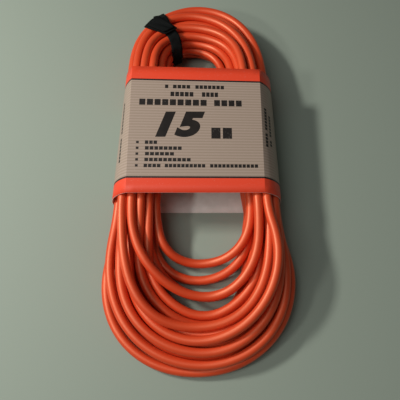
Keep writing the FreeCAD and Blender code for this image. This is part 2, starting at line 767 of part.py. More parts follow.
# Tie strap
def tie_strap():
    """A flat strap drawn round the bundle, with the folded patch of its knot on the outer shoulder."""
    outer, inner = arch_pair("tie_outer_angle", "tie_inner_angle")
    low, high = arch_heights("tie_outer_angle", TIE_BED)
    run_x, run_y = f"({outer[0]} - ({inner[0]}))", f"({outer[1]} - ({inner[1]}))"
    half_width = f"(sqrt({run_x} ^ 2 + {run_y} ^ 2) / 2 + strap_gap)"
    half_height = f"(({high} - ({low})) / 2 + strap_gap)"
    middle = [f"({start} + {end}) / 2" for start, end in zip((*outer, high), (*inner, low))]
    body = new_body("tie_strap", *middle)
    body.Placement.Rotation = FreeCAD.Rotation(Vector(0, 0, 1), 1)
    body.setExpression("Placement.Rotation.Angle", formula(f"atan2({run_y}; {run_x})"))
    band = new_sketch(body, "outside", "XZ_Plane")
    add_ellipse(band, f"{half_width} + strap_thickness", f"{half_height} + strap_thickness")
    pad(body, "band", band, "strap_width", symmetric=True)
    knot = new_sketch(body, "knot", "XZ_Plane")
    corners = [
        (f"0.15 * {half_width}", f"0.7 * {half_height}"),
        (f"0.8 * {half_width}", "0"),
        (f"{half_width} + strap_thickness", f"0.25 * {half_height}"),
        (f"0.72 * {half_width}", f"0.8 * {half_height} + knot_height"),
        (f"0.3 * {half_width}", f"{half_height} + knot_height"),
    ]
    add_outline(knot, corners)
    pad(body, "folded_patch", knot, "knot_width", symmetric=True)
    opening = new_sketch(body, "opening", "XZ_Plane")
    add_ellipse(opening, half_width, half_height)
    pocket(body, "opening_cut", opening, "3 * knot_width", symmetric=True)
    return body


nodes = [
    card_sleeve(),
    cord_hank(),
    tie_strap(),
    moulding("plug_body", "plug", *BRIDGE, "bridge_depth", PLUG_WIRES_FROM),
    plug_bridge(),
    plug_blade("plug_line_blade", RIGHT),
    plug_blade("plug_neutral_blade", LEFT),
    plug_ground_pin(),
    lead("plug_lead", "plug", PLUG_PLACE, PLUG_WIRES_FROM, PLUG_STRAND),
    *conductors("plug", PLUG_PLACE, PLUG_WIRES_FROM),
    moulding("connector_body", "connector", *CORE, "core_depth", CONNECTOR_WIRES_FROM),
    connector_core(),
    blade_contact("connector_line_contact", LEFT, "line_slot - 0.4"),
    blade_contact("connector_neutral_contact", RIGHT, "neutral_slot - 0.4"),
    ground_contact(),
    lead("connector_lead", "connector", CONNECTOR_PLACE, CONNECTOR_WIRES_FROM, CONNECTOR_STRAND),
    *conductors("connector", CONNECTOR_PLACE, CONNECTOR_WIRES_FROM),
]
doc.recompute()

for item in doc.Objects:
    if "Invalid" in item.State or "Error" in item.State:
        raise RuntimeError(f"{item.Name} failed: {item.State}")
for node in nodes:
    if node.Shape.isNull() or not node.Shape.isValid():
        raise RuntimeError(f"{node.Label} has no valid shape")
    if len(node.Shape.Solids) != 1:
        raise RuntimeError(f"{node.Label} has {len(node.Shape.Solids)} solids")
for node in nodes:
    node.Shape.exportStep(f"parts/{node.Label}.step")
    box = node.Shape.BoundBox
    print(f"{node.Label}: x {box.XMin:.1f} to {box.XMax:.1f}, y {box.YMin:.1f} to {box.YMax:.1f},"
          f" z {box.ZMin:.1f} to {box.ZMax:.1f}, {node.Shape.Volume / 1000:.1f} cm3")
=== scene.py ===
# %% [markdown]
# # A wound extension cord in its card sleeve
# The model is a hank of round orange cord with its plug and connector tucked into the middle, a
# printed card sleeve round its waist and a black tie on one shoulder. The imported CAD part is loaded
# first: it fixes every size and place, in metres, and nothing of it is moved here.

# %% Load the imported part
import json
import math

import bmesh
import bpy
import numpy as np
from mathutils import Matrix, Vector


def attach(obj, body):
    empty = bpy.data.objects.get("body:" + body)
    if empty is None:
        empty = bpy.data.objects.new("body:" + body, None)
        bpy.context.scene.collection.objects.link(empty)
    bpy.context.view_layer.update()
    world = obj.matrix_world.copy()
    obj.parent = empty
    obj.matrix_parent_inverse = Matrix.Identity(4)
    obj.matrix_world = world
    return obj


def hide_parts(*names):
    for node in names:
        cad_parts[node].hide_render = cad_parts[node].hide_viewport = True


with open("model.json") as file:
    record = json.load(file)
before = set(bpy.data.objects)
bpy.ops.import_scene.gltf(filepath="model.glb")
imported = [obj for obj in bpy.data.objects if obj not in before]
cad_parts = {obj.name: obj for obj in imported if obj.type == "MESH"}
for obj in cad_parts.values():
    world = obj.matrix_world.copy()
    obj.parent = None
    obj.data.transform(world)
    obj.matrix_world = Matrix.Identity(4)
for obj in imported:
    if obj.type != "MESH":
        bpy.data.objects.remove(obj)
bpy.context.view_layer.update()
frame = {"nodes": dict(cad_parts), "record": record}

MM = 0.001
scene = bpy.context.scene
nodes = frame["nodes"]

# %% [markdown]
# ## The camera
# The photograph was taken from above the loose end of the hank, a little tilted towards the neat
# end. The camera could be set by eye, but then every strand that follows the photograph would sit a
# little off, so it was fitted to the four corners of the sleeve. The lens is the focal length in
# pixels times the sensor's width over the picture's width.

# %% Camera
PHOTO_WIDTH, FOCAL_PIXELS = 400, 485.1
SENSOR_WIDTH = 36
CAMERA_PLACE = (0, -0.1956, 0.4275)
CAMERA_TILT = 21.65

camera_data = bpy.data.cameras.new("camera")
camera_data.sensor_width = SENSOR_WIDTH
camera_data.lens = FOCAL_PIXELS * SENSOR_WIDTH / PHOTO_WIDTH
camera_data.clip_start = 0.01
camera = bpy.data.objects.new("camera", camera_data)
camera.location = CAMERA_PLACE
camera.rotation_euler = (math.radians(CAMERA_TILT), 0, 0)
scene.collection.objects.link(camera)
scene.camera = camera
print("lens", round(camera_data.lens, 2), "mm")

# %% [markdown]
# ## The cord, turn by turn
# The real cord is one piece, 15.24 m long and 8 mm thick, so the model is one curve too. It leaves
# the plug, goes round the hank 20 times and comes back to the connector. Each row of the table is one
# turn: the places where it passes the two ends of the sleeve, its widest places and its lowest place
# in the loose loops, and the top of the arch that leads to the next turn. The rows of the turns that
# show follow the photograph, and the others fill the bundle below them. A loop then works out the
# points between. A helix would be simpler, but here no two turns are alike.

# %% The turns: places in millimetres
THICK = 8.0
SLEEVE_TOP, SLEEVE_FOOT = 88.0, -45.0
# Right side: x, z at the sleeve's top and foot, then x, y, z of the widest place. Lowest place x, y, z.
# Left side: x, y, z of the widest place, then x, z at the sleeve's foot and top. Arch x, y, z. Then
# how round the loop and the arch are, 1 for an oval and less for squarer, and how firmly they keep
# their places, from 0 for hidden ones to 1.
TURNS = [
    ((34, 8), (46, 5.5), (48.5, -94, 4), (2, -148.6, 4),
     (-49.5, -94, 4), (-42, 7.5), (-38.7, 6.5), (-2, 147, 5), (1, 1), (0, 0)),
    ((41, 6), (54, 5.5), (56, -96, 4), (2, -156.6, 4),
     (-56, -96, 4), (-49, 5.5), (-45, 6), (-2, 155, 5), (1, 1), (0, 0)),
    ((49, 6), (60, 8), (64, -97, 4), (2, -164.6, 4),
     (-64, -97, 4), (-56.5, 5.5), (-52.5, 6), (-2, 163, 5), (1, 1), (0, 0)),
    ((57, 6), (63.5, 15), (72, -98, 4), (2, -172.6, 4),
     (-72, -98, 4), (-63.5, 8), (-60, 6), (-2, 171, 5), (1, 1), (0, 0)),
    ((63, 14.5), (67, 19), (79.5, -103, 14), (-4, -181, 4.5),
     (-83, -106, 6), (-70.5, 15.5), (-66.5, 14), (-1, 180, 14), (0.95, 1), (0.8, 0)),
    ((55.5, 14), (57.5, 13), (68, -98, 11), (2, -168.6, 11),
     (-68, -98, 11), (-63.5, 16), (-59, 14), (-2, 173, 13), (1, 1), (0, 0)),
    ((47.5, 14), (51, 12), (60, -96, 11), (2, -160.6, 11),
     (-60, -96, 11), (-56, 13.5), (-51, 14), (-2, 165, 13), (1, 1), (0, 0)),
    ((39.5, 14), (46, 17), (47, -90, 11), (2, -140.6, 4),
     (-46, -90, 10), (-48.5, 13.5), (-43, 14), (-2, 157, 13), (1, 1), (0, 0)),
    ((41, 22.5), (52.5, 19.5), (48, -75, 16), (6, -121.5, 4),
     (-50, -70, 15), (-50, 22), (-44.5, 22.5), (-2, 152, 13), (1, 1), (0, 0)),
    ((49, 22.5), (60, 20.5), (56, -92, 18), (2, -152.6, 11),
     (-54, -94, 12), (-58, 22.5), (-52.5, 22.5), (-2, 156.5, 20.5), (1, 1), (0, 0)),
    ((57, 22.5), (59, 28), (60, -92, 24), (0, -152, 17.5),
     (-60, -92, 19), (-65.3, 24.5), (-60.5, 22.5), (-2, 164.5, 20.5), (1, 1), (0, 0)),
    ((65.5, 22.5), (66.8, 27.5), (74, -102, 22), (2, -175.3, 11),
     (-79.5, -88, 16), (-72.7, 26), (-67.5, 21.5), (-2, 172.5, 20.5), (0.93, 1), (0.8, 0)),
    ((53, 31), (57.5, 34.5), (61.2, -56, 34), (-5.5, -148, 22),
     (-66.7, -48, 40), (-66.1, 42), (-68.5, 29.5), (-3.6, 180.5, 25), (0.79, 0.92), (1, 1)),
    ((61.5, 31), (63.5, 36), (67.6, -95, 28), (3.1, -167.1, 18),
     (-67.8, -99, 24), (-66.1, 33.5), (-60, 30.5), (-6, 158, 28), (0.97, 1), (1, 0)),
    ((45, 31), (52, 27), (54, -88, 18), (2, -144.6, 11),
     (-52, -80, 24), (-51.5, 37.5), (-52, 45), (-17.5, 149.8, 33), (1, 0.89), (0, 1)),
    ((40.5, 46), (50.5, 42), (50.5, -70, 35), (7.1, -123.3, 11),
     (-60.1, -50, 38), (-58.6, 42), (-61.5, 38.5), (-12.3, 165.7, 32), (1.02, 0.98), (1, 1)),
    ((50.7, 41.5), (58.4, 43), (65.9, -83, 42), (-0.9, -157.8, 22),
     (-60.5, -89, 22), (-57.5, 31), (-46, 37), (-6, 149, 21), (0.97, 1), (1, 0)),
    ((36.5, 29.5), (50.9, 34), (51.9, -91, 24), (5.1, -138.6, 10),
     (-45.7, -91, 22), (-45, 33.5), (-45.4, 45.5), (-16.9, 142.7, 28), (1.15, 0.83), (1, 1)),
    ((38, 38.5), (46.0, 31.5), (44.2, -48, 28), (-3.2, -91, 4),
     (-38.5, -48, 24), (-39.4, 26), (-38.3, 38), (-10.4, 141.6, 21), (0.76, 0.95), (1, 1)),
    ((33, 36), (46, 24.5), (47, -58, 17), (-1.7, -105.4, 4),
     (-46, -61, 12), (-42, 15.5), (-31.5, 30), (-1.3, 144.0, 13), (0.92, 1.02), (0.8, 1)),
]
PLUG_STRAND, CONNECTOR_STRAND = (-33.8, 18.5), (29.3, 19.3)
FIRST_TOP = (-1, 139, 5)
print("turns of the hank", len(TURNS))

# %% The leads: places in metres
PLUG_EXIT = (-0.017, 0.057, 0.0135)
LEAD_OUT = [(-0.017, 0.030, 0.0135), PLUG_EXIT, (-0.0172, 0.072, 0.0136), (-0.024, 0.087, 0.0155)]
LEAD_IN = [(0.019, 0.085, 0.017), (0.0139, 0.069, 0.0144), (0.0138, 0.054, 0.0143), (0.0138, 0.027, 0.0143)]
print("lead points", len(LEAD_OUT) + len(LEAD_IN))

# %% A turn's loose loop
# It has a point about every DROP_STEP down to its widest place and LOOP_STEPS round each half of its
# bend. It sinks a little faster than it comes round.
DROP_STEP = 18
LOOP_STEPS = 6
SINK = 0.8


def mix(start, end, t):
    """The place a share t of the way from one place to another."""
    return np.array(start) + (np.array(end) - np.array(start)) * t


def ease(t):
    """A share of the way that starts and ends gently."""
    return t * t * (3 - 2 * t)


def half_loop(foot, widest, bottom, roundness):
    """Half a loose loop, from the sleeve's foot to its widest place and on to the lowest."""
    points = []
    steps = max(2, round((SLEEVE_FOOT - widest[1]) / DROP_STEP) + 1)
    for step in range(1, steps):
        t = step / steps
        x, z = mix(foot, (widest[0], widest[2]), ease(t))
        points.append((x, SLEEVE_FOOT + (widest[1] - SLEEVE_FOOT) * t, z))
    for step in range(LOOP_STEPS):
        angle = math.radians(90 / LOOP_STEPS * step)
        across, down = math.cos(angle) ** roundness, math.sin(angle) ** roundness
        points.append((
            bottom[0] + (widest[0] - bottom[0]) * across,
            widest[1] + (bottom[1] - widest[1]) * down,
            widest[2] + (bottom[2] - widest[2]) * (1 - math.cos(angle)) ** SINK,
        ))
    return points


# %% A turn's arch and its run through the sleeve
# The left shoulder is SHOULDER times as high as it is wide. A strand comes to the arch's level late.
ARCH_STEPS = 10
SHOULDER = 1.2
CLIMB = 1.5
RUN_POINTS = 7


def arch(start, end, top, roundness):
    """One pass over the arch: a straight rise and a round shoulder on the left, an oval on the right."""
    rise = top[1] - SLEEVE_TOP
    shoulder = min(rise, SHOULDER * (top[0] - start[0]))
    points = []
    if rise - shoulder > THICK:
        points.append((start[0], SLEEVE_TOP + (rise - shoulder) / 2, start[1]))
    for step in range(1, ARCH_STEPS):
        angle = math.radians(180 / ARCH_STEPS * step)
        if step <= ARCH_STEPS / 2:
            level = start[1]
            x = top[0] + (start[0] - top[0]) * math.cos(angle)
            lift = 1 - shoulder / rise * (1 - math.sin(angle))
        else:
            level = end[1]
            x = top[0] + (end[0] - top[0]) * (-math.cos(angle)) ** roundness
            lift = math.sin(angle) ** roundness
        points.append((x, SLEEVE_TOP + rise * lift, level + (top[2] - level) * lift ** CLIMB))
    return points


def straight(high, low):
    """The run through the sleeve, from its top to its foot."""
    heights = np.linspace(SLEEVE_TOP, SLEEVE_FOOT, RUN_POINTS)
    places = [mix(high, low, (SLEEVE_TOP - y) / (SLEEVE_TOP - SLEEVE_FOOT)) for y in heights]
    return [(x, y, z) for (x, z), y in zip(places, heights)]


# %% All turns in one route
def hank_route():
    """The route of the whole cord between its leads, and how firmly each place is kept."""
    route, firm = [], []

    def go(points, hold):
        route.extend(points)
        firm.extend([hold] * len(points))

    start, top, arch_round, arch_hold = PLUG_STRAND, FIRST_TOP, 1, 0
    for turn in TURNS:
        high_right, low_right, right, bottom = turn[:4]
        left, low_left, high_left, next_top, roundness, hold = turn[4:]
        go(arch(start, high_right, top, arch_round), arch_hold)
        go(straight(high_right, low_right), hold[0])
        go(half_loop(low_right, right, bottom, roundness[0]) + [bottom], hold[0])
        go(half_loop(low_left, left, bottom, roundness[0])[::-1], hold[0])
        go(straight(high_left, low_left)[::-1], hold[0])
        start, top, arch_round, arch_hold = high_left, next_top, roundness[1], hold[1]
    go(arch(start, CONNECTOR_STRAND, top, arch_round), arch_hold)
    return np.array(route), np.array(firm)


route, route_firm = hank_route()
print("places on the route", len(route))

# %% The same route with evenly spaced points
# A spline whose points are evenly spaced bends alike in every span. Places are read from it at READ
# per span, which is close enough to see where two turns touch.
READ = 5
POINT_STEP = 17.0


def shares(t):
    """How much a place on a quadratic spline takes from each of its three nearest points."""
    return 0.5 * (1 - t) ** 2, 0.5 + t - t * t, 0.5 * t * t


def read_line(points):
    """Places along the quadratic spline, READ for each of its spans."""
    first, second, third = shares((np.arange(READ) / READ)[None, :, None])
    return (first * points[:-2, None] + second * points[1:-1, None] + third * points[2:, None]).reshape(-1, 3)


def run_along(points):
    """How far along a line of points each of them is."""
    return np.concatenate(([0], np.cumsum(np.linalg.norm(np.diff(points, axis=0), axis=1))))


def spaced(points, firm, step):
    """The line with its points one step apart, and their firmness."""
    run = run_along(points)
    at = np.linspace(0, run[-1], round(run[-1] / step) + 1)
    even = np.column_stack([np.interp(at, run, points[:, axis]) for axis in range(3)])
    return even, np.interp(at, run, firm)


fine = read_line(np.vstack((route[:1], route, route[-1:])))
fine_firm = np.interp(np.linspace(0, 1, len(fine)), np.linspace(0, 1, len(route_firm)), route_firm)
planned, firmness = spaced(fine, fine_firm, POINT_STEP)
planned = np.vstack((np.array(LEAD_OUT) / MM, planned, np.array(LEAD_IN) / MM))
firmness = np.concatenate((np.ones(len(LEAD_OUT)), firmness, np.ones(len(LEAD_IN))))
print("planned points", len(planned))

# %% [markdown]
# ## Letting the turns settle
# Picked places overlap here and there, and real turns can't. Blender's cloth and rigid bodies have no
# round cord, so numpy solves it as a rope simulation would: places are read along the curve, pairs
# nearer than one diameter are pushed apart, what is under the floor is lifted, what is in the sleeve
# or the tie is kept inside it, sharp bends are opened, and the pushes are handed back to the curve's
# own points and smoothed. Each pass is small, and a few hundred leave turns that lie side by side and
# on each other. Nothing is random, so each run gives the same.

# %% What the turns lie in: the sleeve and the tie, in millimetres
LEFT, RIGHT = -1, 1
SLEEVE_LOW, SLEEVE_HIGH = -39.0, 85.0
FRONT_LOW, FRONT_RISE = 50, 4
CREASE = {LEFT: -63.0, RIGHT: 55.0}
BULGE = {LEFT: (15.0, 9.0), RIGHT: (17.0, 13.5)}
SLIDE_DOWN, SLIDE_UP = -4, 20
TIE_MIDDLE = np.array((-33.9, 145.0, 22.3))
TIE_ALONG = np.array((0.9327, 0.3606, 0.0))
TIE_ACROSS = np.array((-TIE_ALONG[1], TIE_ALONG[0], 0.0))
UP = np.array((0.0, 0.0, 1.0))


def along_sleeve(y, slide):
    """Where a place is on the sleeve, slid by some millimetres, from its lower end, 0, to its upper, 1."""
    return np.clip((y - slide - SLEEVE_LOW) / (SLEEVE_HIGH - SLEEVE_LOW), 0, 1)


def sleeve_side(side, t):
    """Middle, half height and radius of a curved side, from the lower end, 0, to the upper, 1."""
    low, high = BULGE[side]
    bulge = low + (high - low) * t
    half = (FRONT_LOW + FRONT_RISE * t) / 2
    radius = (half ** 2 + bulge ** 2) / (2 * bulge)
    return CREASE[side] + side * (bulge - radius), half, radius


# %% Keep the strands inside the sleeve
# The limits set in over 10 mm just beyond both ends of the sleeve's slide. The front is taken as low
# and the sides as narrow as they get in that slide, so the sleeve clears the strands all the way.
FROM_FOOT, FROM_TOP = (-58, -48), (116, 106)
BACK_GAP, FRONT_GAP, SIDE_GAP = 1.6, 0.8, 1.1
SIDE_FROM = 40


def ramp(y, start, full):
    """0 at one place along the hank, 1 at another, and even between."""
    return np.clip((y - start) / (full - start), 0, 1)


def hold_in_sleeve(line, moves):
    """Lift strands off the floor or the card's back, and press them in from its front and sides."""
    x, y, z = line.T
    inside = ramp(y, *FROM_FOOT) * ramp(y, *FROM_TOP)
    lowest = THICK / 2 + BACK_GAP * inside
    moves[:, 2] += np.maximum(lowest - z, 0)
    roof = FRONT_LOW + FRONT_RISE * along_sleeve(y, SLIDE_UP) - FRONT_GAP - THICK / 2
    moves[:, 2] -= inside * np.maximum(z - roof, 0)
    for side in (LEFT, RIGHT):
        middle, height, radius = sleeve_side(side, along_sleeve(y, SLIDE_DOWN))
        away_x, away_z = x - middle, z - height
        away = np.hypot(away_x, away_z)
        over = inside * np.maximum(away - (radius - SIDE_GAP - THICK / 2), 0)
        over = np.where(side * x > SIDE_FROM, over, 0)
        moves[:, 0] -= over * away_x / np.maximum(away, 1)
        moves[:, 2] -= over * away_z / np.maximum(away, 1)


# %% Keep the strands clear of the two ends, and inside the tie
ENDS_FOOT, ENDS_TOP = (-50, -40), (70, 60)
PLUG_WALL, PLUG_EDGE = -35.2, -22
CONNECTOR_EDGE, CONNECTOR_WALL = 20, 33
WALL_FLARE, FLARE_SPAN = 12, (5, -40)
TIE_HALF_WIDE, TIE_HALF_HIGH = 21.4, 16.6
TIE_NEAR, TIE_REACH = 9, 34


def clear_the_ends(line, moves):
    """Press strands out of the hollow where the plug and the connector lie."""
    x, y = line[:, 0], line[:, 1]
    beside = ramp(y, *ENDS_FOOT) * ramp(y, *ENDS_TOP)
    moves[:, 0] -= np.where((x > PLUG_WALL) & (x < PLUG_EDGE), beside * (x - PLUG_WALL), 0)
    wall = CONNECTOR_WALL + WALL_FLARE * ramp(y, *FLARE_SPAN)
    moves[:, 0] += np.where((x > CONNECTOR_EDGE) & (x < wall), beside * (wall - x), 0)


def hold_in_tie(line, moves):
    """Draw the strands under the strap into its oval."""
    from_tie = line - TIE_MIDDLE
    along, across, up = from_tie @ TIE_ALONG, from_tie @ TIE_ACROSS, from_tie[:, 2]
    in_tie = (np.abs(along) < TIE_NEAR) & (np.abs(across) < TIE_REACH)
    size = np.sqrt((across / TIE_HALF_WIDE) ** 2 + (up / TIE_HALF_HIGH) ** 2)
    over = np.where(in_tie & (size > 1), 1 - 1 / np.maximum(size, 1), 0)
    moves -= over[:, None] * (across[:, None] * TIE_ACROSS + up[:, None] * UP)


def limits(line):
    """How far each place has to move to be over the floor and inside the sleeve and the tie."""
    moves = np.zeros_like(line)
    hold_in_sleeve(line, moves)
    clear_the_ends(line, moves)
    hold_in_tie(line, moves)
    return moves


# %% Push touching strands apart
# Places that are next to each other along the cord are no pair. A place that is pushed from many
# sides moves less for each of them, and a firm one moves less than a hidden one.
NEIGHBOURS = 7
BLOCK = 512
SPARE, CROWDING = 0.15, 0.35


def close_pairs(line, reach):
    """Every pair of places nearer than reach. A block of rows at a time keeps the table small."""
    square = (line ** 2).sum(1)
    firsts, seconds = [], []
    for start in range(0, len(line), BLOCK):
        block = line[start:start + BLOCK]
        gaps = square[start:start + BLOCK, None] + square[None] - 2 * block @ line.T
        first, second = np.nonzero(gaps < reach * reach)
        first += start
        keep = second - first > NEIGHBOURS
        firsts.append(first[keep])
        seconds.append(second[keep])
    return np.concatenate(firsts), np.concatenate(seconds)


def push_apart(line, first, second, yielding):
    """The moves that bring each pair a diameter apart."""
    gap = line[first] - line[second]
    far = np.maximum(np.linalg.norm(gap, axis=1), 1e-3)
    push = np.maximum(THICK + SPARE - far, 0)
    near = push > 0
    share = yielding[first] / (yielding[first] + yielding[second])
    apart = gap[near] / far[near, None] * push[near, None]
    moves, hits = np.zeros_like(line), np.ones(len(line))
    np.add.at(moves, first[near], apart * share[near, None])
    np.add.at(moves, second[near], -apart * (1 - share[near, None]))
    np.add.at(hits, first[near], CROWDING)
    np.add.at(hits, second[near], CROWDING)
    return moves / hits[:, None]


# %% Move the curve's own points
SHARPEST = 34.0
OPENING = 0.6


def hand_back(moves, count):
    """Spread the moves of the read places over the spline's own points."""
    t = np.tile(np.arange(READ) / READ, count - 2)
    span = np.repeat(np.arange(count - 2), READ)
    total, weight = np.zeros((count, 3)), np.zeros(count)
    for shift, share in enumerate(shares(t)):
        np.add.at(total, span + shift, moves * share[:, None])
        np.add.at(weight, span + shift, share)
    return total / weight[:, None]


def smoothing(drift):
    """How far each point's drift is from the mean of its neighbours'."""
    smooth = np.zeros_like(drift)
    smooth[1:-1] = (drift[:-2] + drift[2:]) / 2 - drift[1:-1]
    return smooth


def open_bends(points):
    """The moves that widen every bend sharper than SHARPEST, for all points but the first and last."""
    before, after = points[1:-1] - points[:-2], points[2:] - points[1:-1]
    bend = (after - before) / 2
    depth = np.linalg.norm(bend, axis=1)
    allowed = np.linalg.norm(before, axis=1) * np.linalg.norm(after, axis=1) / (2 * SHARPEST)
    return bend * (OPENING * np.maximum(1 - allowed / np.maximum(depth, 1e-6), 0))[:, None]


# %% Settle the turns
# Every point is also drawn a little back to its planned place, and a firm one more.
PASSES = 260
LOOK_AGAIN, LOOK_BEYOND = 6, 5
HASTE, SMOOTHING = 1.25, 0.12
FIRM_HOLD = 0.75
HOME_PULL, FIRM_PULL = 0.004, 0.02


def settle(points, firm):
    """Let the points find their rest. Those of the two leads stay where they are."""
    points, start = points.copy(), points.copy()
    free = np.ones(len(points), bool)
    free[:len(LEAD_OUT)] = free[-len(LEAD_IN):] = False
    yielding = np.repeat(1 - FIRM_HOLD * firm[1:-1], READ)
    home = HOME_PULL + FIRM_PULL * firm
    for step in range(PASSES):
        line = read_line(points)
        if step % LOOK_AGAIN == 0:
            pairs = close_pairs(line, THICK + LOOK_BEYOND)
        moves = push_apart(line, *pairs, yielding) + limits(line)
        change = hand_back(moves, len(points)) * HASTE
        points[free] += change[free]
        drift = points - start
        points[free] += SMOOTHING * smoothing(drift)[free] - home[free, None] * drift[free]
        points[1:-1][free[1:-1]] += open_bends(points)[free[1:-1]]
    return points


settled = settle(planned, firmness)
line = read_line(settled)
first, second = close_pairs(line, THICK)
gaps = np.linalg.norm(line[first] - line[second], axis=1)
print(f"cord length {run_along(line)[-1] * MM:.3f} m, pairs nearer than a diameter {len(gaps)},"
      f" nearer than 7 mm {(gaps < 7).sum()}, nearest {gaps.min() if len(gaps) else THICK:.2f} mm")

# %% [markdown]
# ## Drawing the cord
# The jacket is one round tube. A mesh tube of this length would need thousands of rings, so the
# settled points become the control points of one NURBS curve with a round bevel. Order 3 is the same
# quadratic spline that has just settled. The order and the fixed ends are set after the points,
# because set before them they have no effect. The bevel is 1 and every point's radius is the cord's
# own radius, because a curve's box is measured with the radius of its points.

# %% Draw the cord as one smooth curve
cord_curve = bpy.data.curves.new("cord", "CURVE")
cord_curve.dimensions = "3D"
cord_curve.resolution_u = 4
cord_curve.bevel_depth = 1
cord_curve.bevel_resolution = 6
cord_curve.use_fill_caps = True
spline = cord_curve.splines.new("NURBS")
spline.points.add(len(settled) - 1)
spline.points.foreach_set("co", np.column_stack((settled * MM, np.ones(len(settled)))).ravel())
spline.points.foreach_set("radius", np.full(len(settled), THICK / 2 * MM))
spline.order_u = 3
spline.use_endpoint_u = True
cord = bpy.data.objects.new("cord", cord_curve)
scene.collection.objects.link(cord)
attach(cord, "cord")
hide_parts("cord_hank", "plug_lead", "connector_lead")
print("control points of the cord", len(spline.points))

# %% [markdown]
# ## Finishes
# The cord and its two ends are soft plastic, with brass and hard plastic inside. Each could have a
# node tree of its own, but they differ only in numbers: a slow drift between two colours, a
# roughness, and a fine grain that breaks up the highlights. So one function adds a node with its
# settings and links, and another puts a finish together. Colours are hex values matched to the
# picture, and one function turns them to linear light.

# %% Add nodes and colours


def linear(hex_colour):
    """An sRGB hex colour as linear red, green, blue and alpha."""
    parts = [int(hex_colour[i:i + 2], 16) / 255 for i in (1, 3, 5)]
    return (*[v / 12.92 if v <= 0.04045 else ((v + 0.055) / 1.055) ** 2.4 for v in parts], 1)


def add(tree, kind, inputs=None, **settings):
    """Add a shader node with its settings, and set or link its inputs. Hex colours are made linear."""
    made = tree.nodes.new(kind)
    for name, setting in settings.items():
        setattr(made, name, setting)
    for name, given in (inputs or {}).items():
        if isinstance(given, bpy.types.NodeSocket):
            tree.links.new(given, made.inputs[name])
        else:
            made.inputs[name].default_value = linear(given) if isinstance(given, str) else given
    return made


def new_material(name):
    """A material, the tree to build in, and its empty Principled shader."""
    material = bpy.data.materials.new(name)
    material.use_nodes = True
    tree = material.node_tree
    return material, tree, tree.nodes["Principled BSDF"]


# %% Put a finish together
GRAIN_DEPTH = 0.05
DARK_TO, LIGHT_FROM = 0.35, 0.65


def grain(tree, shader, size_mm, strength):
    """Fine bumps of one size, in millimetres on the object, on the shader's normal."""
    place = add(tree, "ShaderNodeTexCoord").outputs["Object"]
    noise = add(tree, "ShaderNodeTexNoise", {"Vector": place, "Scale": 1 / (size_mm * MM), "Detail": 2.0})
    bump = add(tree, "ShaderNodeBump", {
        "Strength": strength, "Distance": GRAIN_DEPTH * MM, "Height": noise.outputs["Fac"],
    })
    tree.links.new(bump.outputs["Normal"], shader.inputs["Normal"])


def two_tone(tree, shader, dark, light, size_mm):
    """Slow colour drift between two hex colours, over patches of a size in millimetres."""
    place = add(tree, "ShaderNodeTexCoord").outputs["Object"]
    noise = add(tree, "ShaderNodeTexNoise", {"Vector": place, "Scale": 1 / (size_mm * MM), "Detail": 3.0})
    tones = add(tree, "ShaderNodeValToRGB", {"Fac": noise.outputs["Fac"]})
    for stop, position, colour in zip(tones.color_ramp.elements, (DARK_TO, LIGHT_FROM), (dark, light)):
        stop.position = position
        stop.color = linear(colour)
    tree.links.new(tones.outputs["Color"], shader.inputs["Base Color"])


def finish(name, dark, light, patch_mm, roughness, grain_mm, strength, metallic=0.0, ior=1.5):
    """A whole finish: two tones in patches, a roughness and a grain. A metal keeps the default IOR."""
    material, tree, shader = new_material(name)
    shader.inputs["Roughness"].default_value = roughness
    shader.inputs["Metallic"].default_value = metallic
    if not metallic:
        shader.inputs["IOR"].default_value = ior
    two_tone(tree, shader, dark, light, patch_mm)
    grain(tree, shader, grain_mm, strength)
    return material


# %% Plastics, brass and wire
# Each call gives two tones and the size of their patches, a roughness, and the grain's size and
# strength. The real grain of extruded, moulded and rolled surfaces is finer than 0.1 mm. It is drawn
# at 0.25 to 0.7 mm here, because a finer one doesn't show.

# Extruded soft PVC, coloured right through: an even satin orange with a long soft highlight. Its
# surface is a little waxy, so the highlight is strong, and its tint stands for the colour below it.
orange_pvc = finish("orange_pvc_jacket", "#D6411D", "#E24D27", 60, 0.44, 0.7, 0.25, ior=1.6)
gloss = orange_pvc.node_tree.nodes["Principled BSDF"].inputs
gloss["Specular IOR Level"].default_value = 1.0
gloss["Specular Tint"].default_value = linear("#FFCDA6")
# PVC moulded in a finely blasted tool: duller and a shade darker than the jacket.
moulded_pvc = finish("orange_moulded_pvc", "#C94525", "#D64E2B", 25, 0.45, 0.5, 0.5, ior=1.53)
# Thermoset pressed hard and left as it comes out: flat black with a dry, matt face.
black_thermoset = finish("black_thermoset", "#141414", "#1C1B1A", 12, 0.55, 0.35, 0.5)
# Brass stamped from rolled strip: warm yellow and bright, a little blurred by the roll marks.
stamped_brass = finish("stamped_brass", "#C9A352", "#D8B669", 6, 0.28, 0.25, 0.15, metallic=1.0)
# Thin PVC extruded over each conductor: plain even colours, smoother than the jacket.
black_wire = finish("black_wire_insulation", "#101010", "#181818", 10, 0.4, 0.4, 0.2)
white_wire = finish("white_wire_insulation", "#DEDDD6", "#E8E7E1", 10, 0.4, 0.4, 0.2)
green_wire = finish("green_wire_insulation", "#1C6B33", "#23793B", 10, 0.4, 0.4, 0.2)

# %% Give the finishes to the cord and the CAD nodes
FINISHES = {
    "moulding": moulded_pvc,
    "core_plastic": black_thermoset,
    "brass": stamped_brass,
    "line_insulation": black_wire,
    "neutral_insulation": white_wire,
    "ground_insulation": green_wire,
}
dressed = [row for row in frame["record"]["subparts"] if row["material_slot"] in FINISHES]
for row in dressed:
    for place in nodes[row["node"]].material_slots:
        place.material = FINISHES[row["material_slot"]]
cord_curve.materials.append(orange_pvc)
print("CAD nodes with a new finish", len(dressed))

